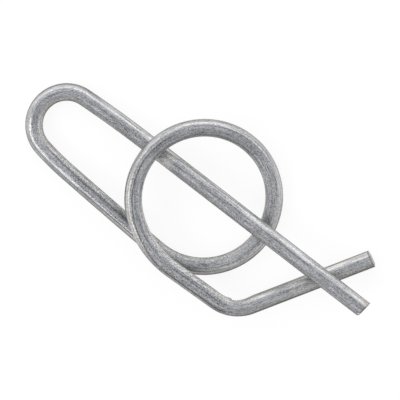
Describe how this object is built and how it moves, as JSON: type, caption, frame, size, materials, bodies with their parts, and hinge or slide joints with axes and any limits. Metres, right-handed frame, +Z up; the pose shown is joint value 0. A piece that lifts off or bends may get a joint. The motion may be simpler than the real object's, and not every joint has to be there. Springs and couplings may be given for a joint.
{
  "type": "cotter pin",
  "caption": "Safety cotter pin bent from one round wire: a straight leg for a shaft's cross hole, a ring round the shaft, and a hook that snaps under the leg's end.",
  "frame": {"origin": "middle of the pin's footprint, on the surface that it lies on", "axes": "+Z up from that surface, +X along the straight leg towards its tip"},
  "size_m": [0.083, 0.0348, 0.0098],
  "materials": {
    "zinc_wire": "dull zinc coat on drawn steel wire, with fine draw lines"
  },
  "bodies": {
    "root": {"cotter_pin": "zinc_wire"}
  },
  "joints": []
}
